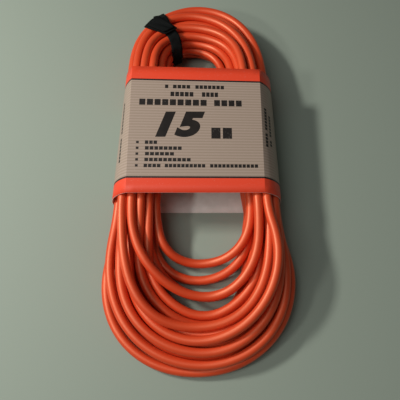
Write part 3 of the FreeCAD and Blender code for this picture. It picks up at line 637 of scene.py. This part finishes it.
# %% [markdown]
# ## The card sleeve
# The real sleeve is one sheet of coated card, folded at four creases, printed outside and white
# inside, with a glued lap in its back. The strands push its sides out into curves. A cube would have
# flat sides, so a ring of points is extruded along the sleeve in steps, and each ring is set to the
# outline of its own place, which grows towards the upper end. The creases are marked sharp, because a
# smooth-shaded fold looks like a cushion, and Solidify gives the card its thickness inwards.

# %% Mesh helpers for rings, sheets and pieces


def open_tube(around, rows):
    """Extrude a ring of points into rows of faces. Gives the mesh and its rings, each in order."""
    mesh = bmesh.new()
    place_in_ring = mesh.verts.layers.int.new("place_in_ring")
    rings = [bmesh.ops.create_circle(mesh, segments=around, radius=1)["verts"]]
    for place, vertex in enumerate(rings[0]):
        vertex[place_in_ring] = place
    edges = mesh.edges[:]
    for _ in range(rows):
        made = bmesh.ops.extrude_edge_only(mesh, edges=edges)["geom"]
        edges = [item for item in made if isinstance(item, bmesh.types.BMEdge)]
        edges = [edge for edge in edges if len(edge.link_faces) == 1]
        ring = {vertex for edge in edges for vertex in edge.verts}
        rings.append(sorted(ring, key=lambda vertex: vertex[place_in_ring]))
    return mesh, rings


def face_outward(mesh, middle):
    """Turn the faces of an open wall away from a place in its middle."""
    bmesh.ops.recalc_face_normals(mesh, faces=mesh.faces)
    outward = sum((face.calc_center_median() - middle).dot(face.normal) > 0 for face in mesh.faces)
    if outward < len(mesh.faces) / 2:
        bmesh.ops.reverse_faces(mesh, faces=mesh.faces)


def new_piece(name, mesh):
    """Make a finished bmesh an object of the scene, at the origin."""
    data = bpy.data.meshes.new(name)
    mesh.to_mesh(data)
    mesh.free()
    piece = bpy.data.objects.new(name, data)
    scene.collection.objects.link(piece)
    return piece


def thicken(piece, thick, offset):
    """Give a sheet its thickness: inwards at -1, both ways at 0, outwards at 1."""
    solid = piece.modifiers.new("thickness", "SOLIDIFY")
    solid.thickness = thick * MM
    solid.offset = offset
    return solid


# %% The sleeve's outline
CARD = 0.5
STEPS = 16
SLEEVE_X, SLEEVE_HALF = -4, 59
SKEW = 1.9


def sleeve_outline(t):
    """The outline in millimetres: up the left side, over the front, down the right, along the back."""
    sides = []
    for side in (LEFT, RIGHT):
        middle, half, radius = sleeve_side(side, t)
        sweep = math.asin(half / radius)
        angles = np.linspace(-sweep, sweep, STEPS + 1)
        sides.append([(middle + side * radius * math.cos(a), half + radius * math.sin(a)) for a in angles])
    left, right = sides[0], sides[1][::-1]
    front = [tuple(mix(left[-1], right[0], n / STEPS)) for n in range(1, STEPS)]
    back = [tuple(mix(right[-1], left[0], n / STEPS)) for n in range(1, STEPS)]
    return left + front + right + back


def sleeve_height(x, t):
    """How far along the hank a place of the sleeve is. Its upper edge was cut a little askew."""
    skew = SKEW * (x - SLEEVE_X) / SLEEVE_HALF
    return SLEEVE_LOW + (SLEEVE_HIGH - SLEEVE_LOW - skew) * t


# %% Sleeve: extrude the ring and mark the creases
SLEEVE_MIDDLE = Vector((-0.004, 0.023, 0.026))
mesh, rings = open_tube(4 * STEPS, STEPS)
for step, ring in enumerate(rings):
    t = step / STEPS
    for vertex, (x, z) in zip(ring, sleeve_outline(t)):
        vertex.co = (x * MM, sleeve_height(x, t) * MM, z * MM)
face_outward(mesh, SLEEVE_MIDDLE)
for edge in mesh.edges:
    edge.smooth = True
for lower, upper in zip(rings, rings[1:]):
    for crease in range(0, 4 * STEPS, STEPS):
        mesh.edges.get((lower[crease], upper[crease])).smooth = False
print("sleeve faces", len(mesh.faces))

# %% Sleeve: unroll the print
# The back has the bands and the ground of the print and none of its rows, so its map lies far to
# the right of them.
BACK_FROM = 400
BACK_BELOW = 5


def unrolled(x, z, t, on_side, on_back):
    """How far right of the middle a place lies on the flat printed sheet."""
    if on_back:
        return BACK_FROM + x
    if not on_side:
        return x
    middle, half, radius = sleeve_side(on_side, t)
    sweep = math.asin(half / radius)
    angle = math.atan2(z - half, on_side * (x - middle))
    return CREASE[on_side] + on_side * radius * (sweep - angle)


sheet = mesh.loops.layers.uv.new("sheet")
for face in mesh.faces:
    face.smooth = True
    centre = face.calc_center_median() / MM
    on_side = LEFT if centre.x < CREASE[LEFT] else RIGHT if centre.x > CREASE[RIGHT] else 0
    on_back = not on_side and centre.z < BACK_BELOW
    for loop in face.loops:
        x, y, z = loop.vert.co / MM
        t = (y - SLEEVE_LOW) / (sleeve_height(x, 1) - SLEEVE_LOW)
        up = (SLEEVE_HIGH - SLEEVE_LOW) * t
        loop[sheet].uv = (unrolled(x, z, t, on_side, on_back) * MM, up * MM)
sleeve = new_piece("sleeve_card", mesh)
solid = thicken(sleeve, CARD, -1)
solid.use_even_offset = True
solid.material_offset = 1
solid.material_offset_rim = 1
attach(sleeve, "sleeve")
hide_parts("card_sleeve")
print("sleeve", SLEEVE_HIGH - SLEEVE_LOW, "mm long")

# %% The glued lap inside the back
LAP_X, LAP_WIDTH = -54.9, 15.6
LAP_Y, LAP_LENGTH = 23, 118
LAP_LEVEL, LAP_WAVE, LAP_RIPPLE = 1.02, 0.12, 9
mesh = bmesh.new()
bmesh.ops.create_grid(mesh, x_segments=4, y_segments=24, size=0.5)
for vertex in mesh.verts:
    x, y, _ = vertex.co
    level = LAP_LEVEL + LAP_WAVE * math.sin(LAP_RIPPLE * y)
    vertex.co = ((LAP_X + LAP_WIDTH * x) * MM, (LAP_Y + LAP_LENGTH * y) * MM, level * MM)
lap = new_piece("sleeve_lap", mesh)
thicken(lap, CARD, -1)
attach(lap, "sleeve")
print("lap", LAP_WIDTH, "x", LAP_LENGTH, "mm")

# %% [markdown]
# ## The print
# The sheet is printed before it is folded: an orange band at each end with a thin black line, and a
# taupe panel with fine ruled lines and rows of small plain blocks. An image texture would show its
# pixels in a close view, so the print is drawn with Math nodes. They read the flat sheet's own UV map,
# in metres, so the pattern runs unbroken over the creases. Each row is one rectangle, cut into blocks.

# %% Print: helpers for patterns on the flat sheet
BLOCK_GAP = 0.2


def any_of(tree, masks):
    """1 where any of the masks is 1."""
    joined = masks[0]
    for mask in masks[1:]:
        joined = add(tree, "ShaderNodeMath", {0: joined, 1: mask}, operation="MAXIMUM").outputs[0]
    return joined


def in_spans(tree, place, *spans):
    """1 where a place in millimetres lies in any of the spans, else 0."""
    masks = []
    for low, high in spans:
        reach = {0: place, 1: (low + high) / 2, 2: (high - low) / 2}
        masks.append(add(tree, "ShaderNodeMath", reach, operation="COMPARE").outputs[0])
    return any_of(tree, masks)


def block_row(tree, across, along, left, right, low, high, block):
    """A row of ink that reaches from left to right, cut into blocks of about one width, or uncut at 0."""
    sides = {0: in_spans(tree, across, (left, right)), 1: in_spans(tree, along, (low, high))}
    row = add(tree, "ShaderNodeMath", sides, operation="MULTIPLY").outputs[0]
    if not block:
        return row
    per_mm = max(1, round((right - left) / block)) / (right - left)
    counted = {0: across, 1: per_mm, 2: -left * per_mm}
    counted = add(tree, "ShaderNodeMath", counted, operation="MULTIPLY_ADD").outputs[0]
    within_block = add(tree, "ShaderNodeMath", {0: counted}, operation="FRACT").outputs[0]
    inked = add(tree, "ShaderNodeMath", {0: within_block, 1: BLOCK_GAP}, operation="GREATER_THAN").outputs[0]
    return add(tree, "ShaderNodeMath", {0: row, 1: inked}, operation="MULTIPLY").outputs[0]


def wave(tree, place, pitch_mm):
    """A sine that swings between -1 and 1 once in each pitch."""
    turned = {0: place, 1: 2 * math.pi / pitch_mm}
    turned = add(tree, "ShaderNodeMath", turned, operation="MULTIPLY").outputs[0]
    return add(tree, "ShaderNodeMath", {0: turned}, operation="SINE").outputs[0]


def map_in_mm(tree, map_name):
    """The two coordinates of a UV map, in millimetres."""
    place = add(tree, "ShaderNodeUVMap", uv_map=map_name).outputs["UV"]
    in_mm = add(tree, "ShaderNodeVectorMath", {0: place, 1: (1000, 1000, 1000)}, operation="MULTIPLY")
    parts = add(tree, "ShaderNodeSeparateXYZ", {"Vector": in_mm.outputs["Vector"]})
    return parts.outputs["X"], parts.outputs["Y"]


# %% Print: where the blocks are
# Left, right, low and high on the flat sheet, then the width of a block. The rows on the sides run
# along the sleeve, so for them left and right are places along it.
FRONT_ROWS = [
    (-32.0, -29.0, 101.2, 105.0, 0), (-25.5, -9.0, 101.2, 105.0, 3.9), (-5.0, 21.9, 101.2, 105.0, 3.6),
    (-27.7, -6.0, 92.9, 97.7, 4.4), (1.0, 16.4, 92.9, 97.7, 4.0),
    (-56.3, 6.0, 83.6, 89.8, 6.9), (11.5, 37.6, 83.6, 89.8, 6.6), (8.0, 28.2, 50.8, 61.6, 9.5),
    (-49.0, -37.6, 45.0, 48.3, 3.8), (-48.8, -16.0, 39.5, 42.8, 4.1), (-48.6, -22.6, 34.1, 37.3, 4.0),
    (-48.9, -8.1, 28.6, 31.8, 4.1), (-49.3, -34.0, 23.0, 26.2, 3.9), (-31.0, 4.5, 23.0, 26.2, 3.6),
    (8.0, 49.9, 23.0, 26.2, 3.6),
    *[(-56.0, -53.6, low, low + 2.3, 0) for low in (45.5, 40.0, 34.5, 29.1, 23.5)],
]
SIDE_ROWS = [
    (44.0, 58.0, 58.5, 61.5, 3.4), (61.0, 84.0, 58.5, 61.5, 3.4), (46.0, 52.5, 64.0, 66.8, 3.2),
    (56.0, 78.0, 64.0, 66.8, 3.2), (30.0, 54.0, -76.0, -73.2, 3.4), (58.0, 90.0, -76.0, -73.2, 3.4),
]
printed, tree, shader = new_material("printed_coated_card")
across, along = map_in_mm(tree, "sheet")
rows = [block_row(tree, across, along, *row) for row in FRONT_ROWS]
rows += [block_row(tree, along, across, *row) for row in SIDE_ROWS]
print("rows on the print", len(rows))

# %% Print: the colours of the card
# Coated card, printed in flat opaque inks: even colours with a low, soft sheen. Where it is handled,
# the ink wears off in pale specks. They are about 0.2 mm, and drawn about 1 mm wide so that they show.
# In a Mix node, inputs 6 and 7 are the two colours, and output 2 is the mixed one.
INK, BAND, PANEL_LIGHT, PANEL_DARK, WORN = "#1B1512", "#EC4829", "#AD998B", "#9C8979", "#D8CFC4"
RULE_PITCH = 2.7
BAND_WIDTH, LINE_WIDTH = 13.2, 1.6
SHEET_LENGTH = SLEEVE_HIGH - SLEEVE_LOW
SPECK_SCALE, SPECK_ABOVE, SPECK_SHARE = 900.0, 0.66, 0.12

rule = {0: wave(tree, along, RULE_PITCH), 1: 0.5, 2: 0.5}
rule = add(tree, "ShaderNodeMath", rule, operation="MULTIPLY_ADD").outputs[0]
low_band, high_band = BAND_WIDTH, SHEET_LENGTH - BAND_WIDTH
bands = in_spans(tree, along, (-1, low_band), (high_band, SHEET_LENGTH + 1))
lines = in_spans(tree, along, (low_band, low_band + LINE_WIDTH), (high_band - LINE_WIDTH, high_band))
place = add(tree, "ShaderNodeTexCoord").outputs["Object"]
rub = add(tree, "ShaderNodeTexNoise", {"Vector": place, "Scale": SPECK_SCALE, "Detail": 4.0}).outputs["Fac"]
specks = add(tree, "ShaderNodeMath", {0: rub, 1: SPECK_ABOVE}, operation="GREATER_THAN").outputs[0]
specks = add(tree, "ShaderNodeMath", {0: specks, 1: SPECK_SHARE}, operation="MULTIPLY").outputs[0]
colour = PANEL_DARK
for mask, over in (
    (rule, PANEL_LIGHT), (any_of(tree, rows), INK), (bands, BAND), (lines, INK), (specks, WORN),
):
    colour = add(tree, "ShaderNodeMix", {0: mask, 6: colour, 7: over}, data_type="RGBA").outputs[2]
tree.links.new(colour, shader.inputs["Base Color"])
shader.inputs["Roughness"].default_value = 0.46
grain(tree, shader, 0.5, 0.12)
# The uncoated inner side of the same card: warm white and quite matt, with a soft fibre grain.
white_card = finish("white_card_inside", "#E6E3DB", "#EFECE5", 9, 0.8, 0.6, 0.3)
sleeve.data.materials.append(printed)
sleeve.data.materials.append(white_card)
lap.data.materials.append(white_card)
print("nodes in the print", len(tree.nodes))

# %% [markdown]
# ## The large number
# A large number is printed on the front of such a sleeve, slanted and heavy. It could be drawn with
# nodes like the blocks, but a text object has clean round outlines. It is made a mesh, sized to its
# place, laid on the sloping front and raised by a few hundredths of a millimetre, as thick ink is.

# %% Number: flat figures
figures = bpy.data.curves.new("sleeve_number", "FONT")
figures.body = "15"
figures.shear = 0.28
figures.offset = 0.062
figures.space_character = 1.12
figures.resolution_u = 8
text = bpy.data.objects.new("sleeve_number_text", figures)
scene.collection.objects.link(text)
flat_figures = bpy.data.meshes.new_from_object(text)
bpy.data.objects.remove(text)
mesh = bmesh.new()
mesh.from_mesh(flat_figures)
bpy.data.meshes.remove(flat_figures)
bmesh.ops.remove_doubles(mesh, verts=mesh.verts, dist=1e-5)
low = Vector([min(vertex.co[axis] for vertex in mesh.verts) for axis in range(2)])
high = Vector([max(vertex.co[axis] for vertex in mesh.verts) for axis in range(2)])
print("outline points of the number", len(mesh.verts))

# %% Number: raise it and lay it on the front
NUMBER_LEFT, NUMBER_WIDTH = -39.5, 44.0
NUMBER_LOW, NUMBER_HEIGHT = 13.1, 25.4
INK_OVER, INK_UNDER = 0.06, -0.1
made = bmesh.ops.extrude_face_region(mesh, geom=mesh.faces[:])
raised = {item for item in made["geom"] if isinstance(item, bmesh.types.BMVert)}
for vertex in mesh.verts:
    x = NUMBER_LEFT + NUMBER_WIDTH * (vertex.co.x - low.x) / (high.x - low.x)
    y = NUMBER_LOW + NUMBER_HEIGHT * (vertex.co.y - low.y) / (high.y - low.y)
    level = FRONT_LOW + FRONT_RISE * (y - SLEEVE_LOW) / (SLEEVE_HIGH - SLEEVE_LOW)
    vertex.co = (x * MM, y * MM, (level + (INK_OVER if vertex in raised else INK_UNDER)) * MM)
bmesh.ops.recalc_face_normals(mesh, faces=mesh.faces)
for face in mesh.faces:
    face.smooth = False
    face.material_index = 0
number = new_piece("sleeve_number", mesh)
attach(number, "sleeve")
# Black printing ink, laid on thick: deep and smooth, with a little more sheen than the card.
number.data.materials.append(finish("black_printing_ink", "#17120F", "#221C18", 8, 0.42, 0.5, 0.15))
print("number faces", len(number.data.polygons))

# %% [markdown]
# ## The tie
# The real tie is a black woven strap drawn tight round the strands. A fixed ring would stand off some
# strands and cut others, so the strap's path is worked out from the strands themselves: in each
# direction the outermost strand is found, and the strap lies one radius outside it. The ring is
# extruded to the strap's width, and Solidify gives its thickness outwards.

# %% Tie: the path round the strands
STRAP_WIDTH, STRAP_THICK = 11.0, 1.0
STRAP_AROUND, STRAP_ROWS = 96, 6
STRAND_NEAR, STRAND_REACH = 5, 30
STRAND_GAP = 0.1
DIRECTIONS = 360
from_tie = line - TIE_MIDDLE
near = (np.abs(from_tie @ TIE_ALONG) < STRAND_NEAR) & (np.abs(from_tie @ TIE_ACROSS) < STRAND_REACH)
strands = np.column_stack((from_tie[near] @ TIE_ACROSS, from_tie[near, 2]))
angles = np.linspace(0, 2 * math.pi, DIRECTIONS + 1)[:-1]
outward = np.column_stack((np.cos(angles), np.sin(angles)))
outermost = strands[(strands @ outward.T).argmax(0)] + (THICK / 2 + STRAND_GAP) * outward
closed = np.vstack((outermost, outermost[:1]))
run = run_along(closed)
spots = np.linspace(0, run[-1], STRAP_AROUND + 1)[:-1]
tie_path = np.column_stack([np.interp(spots, run, closed[:, axis]) for axis in range(2)])
print("strap goes round", round(run[-1], 1), "mm, over", len(strands), "points")

# %% Tie: strap
# It leans towards the arch where it is pulled to its patch, and small waves keep it from looking
# like a turned ring.
LEAN, LEAN_AT, LEAN_WIDTH = 3.4, -17, 11
STRAP_LIFT, WRINKLE = 0.5, 0.35
STRAP_LOWEST = 1.1


def strap_place(spot, row):
    """Where a point of the strap is, from its place round the strands and its row across the width."""
    across_at, up_at = tie_path[spot]
    lean = LEAN * math.exp(-((across_at - LEAN_AT) / LEAN_WIDTH) ** 2) * (up_at > 0)
    wrinkle = WRINKLE * math.sin(0.9 * spot) * math.sin(1.3 * row + 0.2 * spot)
    sideways = STRAP_WIDTH * (row / STRAP_ROWS - 0.5) + lean
    spread = 1 + (STRAP_LIFT + wrinkle) / math.hypot(across_at, up_at)
    spot_place = TIE_MIDDLE + TIE_ALONG * sideways + TIE_ACROSS * across_at * spread
    return (*(spot_place[:2] * MM), max(TIE_MIDDLE[2] + up_at * spread, STRAP_LOWEST) * MM)


mesh, rings = open_tube(STRAP_AROUND, STRAP_ROWS)
flat_place = {}
for row, ring in enumerate(rings):
    for spot, vertex in enumerate(ring):
        vertex.co = strap_place(spot, row)
        flat_place[vertex] = (spots[spot] * MM, STRAP_WIDTH * row / STRAP_ROWS * MM)
face_outward(mesh, Vector(TIE_MIDDLE * MM))
strap_map = mesh.loops.layers.uv.new("strap")
for face in mesh.faces:
    face.smooth = True
    for loop in face.loops:
        loop[strap_map].uv = flat_place[loop.vert]
strap = new_piece("tie_strap_woven", mesh)
thicken(strap, STRAP_THICK, 1)
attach(strap, "cord")
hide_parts("tie_strap")
print("strap faces", len(strap.data.polygons))

# %% [markdown]
# ## The folded patch
# The strap's end is folded over itself and pressed flat, which leaves a crumpled four-sided patch of
# two layers on top of the strands. Cloth simulation would crumple it too, but not with its corners
# where the photograph has them. So each layer is a grid stretched between four chosen corners, with a
# few slow waves for the crumple.

# %% Tie: folded patch
# Corners: along the strands, across them, and above the strap's highest place.
CORNERS = {
    "left": (-20.5, 8.5, -1.6),
    "peak": (-2.5, 13.5, 1.4),
    "right": (9.0, -7.0, 1.8),
    "low": (-4.5, -10.5, 1.8),
}
PATCH_GAP = 0.4
PATCH_BASE = TIE_MIDDLE[2] + tie_path[:, 1].max() + PATCH_GAP
BELLY, BELLY_FROM = 2.4, 0.35
FOLD, CREASING = 0.5, 0.15


def folded_patch(name, lift, size):
    """One layer of the strap's folded end, lifted over the strap, and smaller than its corners say."""
    mesh = bmesh.new()
    bmesh.ops.create_grid(mesh, x_segments=18, y_segments=12, size=0.5)
    patch_map = mesh.loops.layers.uv.new("strap")
    for vertex in mesh.verts:
        s, t = vertex.co.x * size + 0.5, vertex.co.y * size + 0.5
        upper = mix(CORNERS["left"], CORNERS["peak"], s)
        lower = mix(CORNERS["low"], CORNERS["right"], s)
        sideways, across_at, height = mix(lower, upper, t)
        across_at += BELLY * math.sin(math.pi * s) * (t - BELLY_FROM)
        crumple = FOLD * math.sin(5.2 * s + 2.1 * t) * math.sin(3.9 * t + 1.3 * s)
        crumple += CREASING * math.sin(13 * s + 7 * t)
        spot_place = TIE_MIDDLE + TIE_ALONG * sideways + TIE_ACROSS * across_at
        vertex.co = (*(spot_place[:2] * MM), (PATCH_BASE + height + lift + crumple) * MM)
    for face in mesh.faces:
        face.smooth = True
        for loop in face.loops:
            loop[patch_map].uv = loop.vert.co.xy
    bmesh.ops.recalc_face_normals(mesh, faces=mesh.faces)
    patch = new_piece(name, mesh)
    thicken(patch, STRAP_THICK, 0)
    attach(patch, "cord")
    return patch


patches = [folded_patch("tie_patch_lower", 0.2, 1.0), folded_patch("tie_patch_upper", 1.6, 0.82)]
print("layers of the patch", len(patches))

# %% [markdown]
# ## Black webbing
# Webbing is woven from polyester threads, and shows fine ribs across its width and a slightly paler
# sheen on the crowns of its threads. Modelled threads would take far too many faces, and a noise has
# no ribs. So the ribs are sine waves on the strap's own UV map. They drive the bump, and they also paint
# the crowns a little paler in the colour, which is a painted sheen, so that light and relief agree.

# %% Webbing material
# Dyed polyester swallows most light: nearly black, with a weak, broad sheen. Its ribs are about
# 0.5 mm apart, too fine to show here, and are drawn coarser.
RIB_PITCH, THREAD_PITCH = 0.9, 0.6
webbing, tree, shader = new_material("black_woven_webbing")
round_strap, over_strap = map_in_mm(tree, "strap")
crossing = {0: wave(tree, round_strap, RIB_PITCH), 1: wave(tree, over_strap, THREAD_PITCH)}
crossing = add(tree, "ShaderNodeMath", crossing, operation="MULTIPLY").outputs[0]
weave_and_sheen = add(tree, "ShaderNodeMath", {0: crossing, 1: 0.5, 2: 0.5}, operation="MULTIPLY_ADD").outputs[0]
# The colour is a little paler on the threads' crowns: a painted sheen, not a paler thread.
colour = add(tree, "ShaderNodeMix", {0: weave_and_sheen, 6: "#030404", 7: "#0B0F0E"}, data_type="RGBA").outputs[2]
bump = add(tree, "ShaderNodeBump", {"Strength": 0.6, "Distance": 0.3 * MM, "Height": weave_and_sheen})
tree.links.new(colour, shader.inputs["Base Color"])
tree.links.new(bump.outputs["Normal"], shader.inputs["Normal"])
shader.inputs["Roughness"].default_value = 0.7
shader.inputs["Specular IOR Level"].default_value = 0.15
for piece in (strap, *patches):
    piece.data.materials.append(webbing)
print("pieces of webbing", 1 + len(patches))

# %% [markdown]
# ## Floor
# The hank lies on a pale grey-green board, painted and matt, which catches its shadow. A curved
# backdrop could close the scene, but the camera looks down, so one flat sheet fills the view.

# %% Floor
mesh = bmesh.new()
bmesh.ops.create_grid(mesh, x_segments=1, y_segments=1, size=3)
floor = new_piece("floor", mesh)
# Matt paint on board: one even pale colour without a highlight.
board, tree, shader = new_material("pale_board")
shader.inputs["Base Color"].default_value = linear("#929D90")
shader.inputs["Roughness"].default_value = 0.75
floor.data.materials.append(board)
print("floor", round(floor.dimensions.x, 1), "m wide")

# %% [markdown]
# ## Light
# The photograph has one clear shadow, to the right of the hank. A sun lamp would cut it too hard, so
# a small window at the upper left throws it. A weaker one lower down lights the card inside the
# hollow, a broad soft lamp lights the board, and a dim even world keeps the gaps between the turns
# from going black. Together they show a colour about as it is written.

# %% Lights and world
WORLD_STRENGTH = 0.085


def area_light(name, place, width, height, power, colour="#FFFFFF"):
    """A rectangular lamp, its width along the hank, turned to the middle of it."""
    data = bpy.data.lights.new(name, "AREA")
    data.shape = "RECTANGLE"
    data.size, data.size_y = width, height
    data.energy = power
    data.color = linear(colour)[:3]
    light = bpy.data.objects.new(name, data)
    turn = (-Vector(place)).to_track_quat("-Z", "Y").to_matrix().to_4x4()
    light.matrix_world = Matrix.Translation(place) @ turn
    scene.collection.objects.link(light)


area_light("window", (-0.73, 0.16, 0.69), 0.18, 0.08, 6.7, "#FFFDF8")
area_light("window_low", (-0.70, -0.36, 0.69), 0.14, 0.08, 2.0, "#FFFDF8")
area_light("soft_fill", (-0.55, -0.22, 1.3), 0.8, 0.8, 4.6)
world = bpy.data.worlds.new("room")
world.use_nodes = True
sky = world.node_tree.nodes["Background"].inputs
sky["Color"].default_value = linear("#E8EBE8")
sky["Strength"].default_value = WORLD_STRENGTH
scene.world = world
scene.view_settings.view_transform = "Standard"
print("lamps", len(bpy.data.lights))

# %% Bring the scene up to date
bpy.context.view_layer.update()
